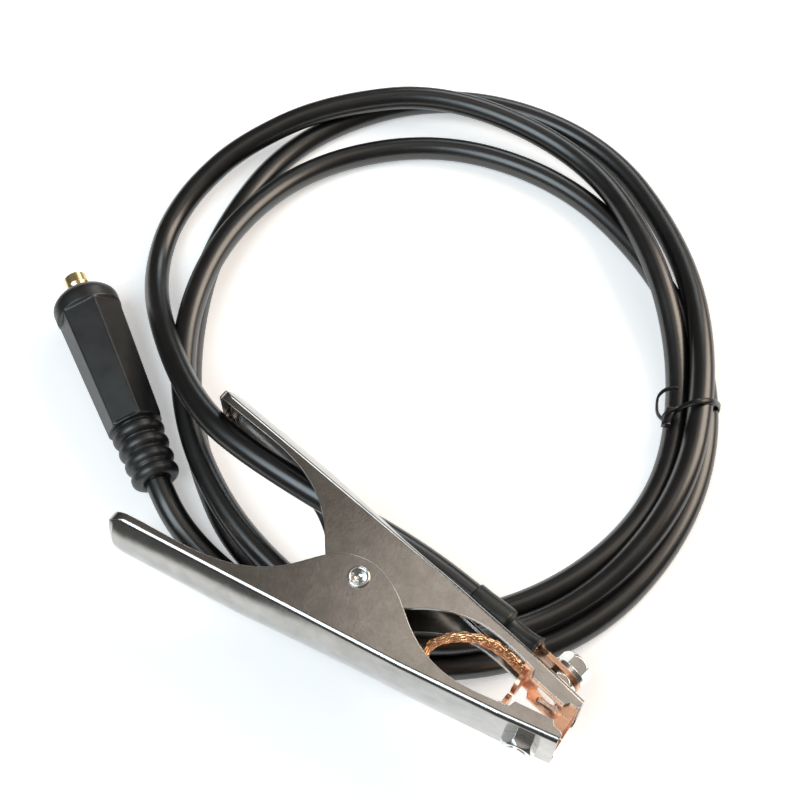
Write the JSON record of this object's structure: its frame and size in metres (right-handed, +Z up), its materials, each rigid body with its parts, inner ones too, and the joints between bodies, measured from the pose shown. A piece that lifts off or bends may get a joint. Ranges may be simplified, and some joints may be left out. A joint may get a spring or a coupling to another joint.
{
  "type": "welding work clamp lead",
  "caption": "Spring-loaded work-return clamp with copper jaws and braid, wired by a coiled rubber cable to a twist-lock cable plug.",
  "frame": {"origin": "middle of the clamp on the axis of its pivot rivet", "axes": "+X along the clamp to the jaws, +Y from the lower lever to the lever that carries the cable, +Z up, along the pivot; the clamp lies on its side on the coiled cable"},
  "size_m": [0.249, 0.2613, 0.0462],
  "materials": {
    "zinc_steel": "zinc-plated pressed steel, satin sides",
    "bright_zinc": "bright zinc fasteners",
    "spring_steel": "dark spring wire",
    "copper": "sheet copper, slightly tarnished",
    "braid_copper": "bright braided copper",
    "brass": "turned brass",
    "cable_rubber": "satin black rubber",
    "plug_rubber": "matte black rubber",
    "shrink": "heat-shrink tube",
    "nylon": "black nylon tie"
  },
  "bodies": {
    "clamp": {"upper_lever": "zinc_steel", "pivot_rivet": "bright_zinc", "pivot_spacer": "bright_zinc", "torsion_spring": "spring_steel", "upper_jaw_insert": "copper", "braid_strap": "braid_copper", "upper_jaw_bolt": "bright_zinc", "upper_inner_nut": "bright_zinc", "upper_spring_washer": "bright_zinc", "upper_outer_nut": "bright_zinc", "cable_lug": "copper", "lug_core": "braid_copper", "heat_shrink_sleeve": "shrink", "cable_lead": "cable_rubber", "plug_lead": "cable_rubber", "cable_coil": "cable_rubber", "cable_tie": "nylon", "plug_body": "plug_rubber", "plug_pin": "brass", "plug_core": "braid_copper", "plug_grub_screw": "bright_zinc"},
    "lower_jaw": {"lower_lever": "zinc_steel", "lower_jaw_insert": "copper", "lower_jaw_bolt": "bright_zinc", "lower_jaw_nut": "bright_zinc"}
  },
  "joints": [
    {"name": "jaw_pivot", "type": "hinge", "parent": "clamp", "child": "lower_jaw", "pos_m": [0, 0, 0], "axis": [0, 0, -1], "range_deg": [0, 24], "stiffness_Nm_per_rad": 6, "springref_deg": -34.38, "deforming": ["torsion_spring", "braid_strap"]}
  ]
}
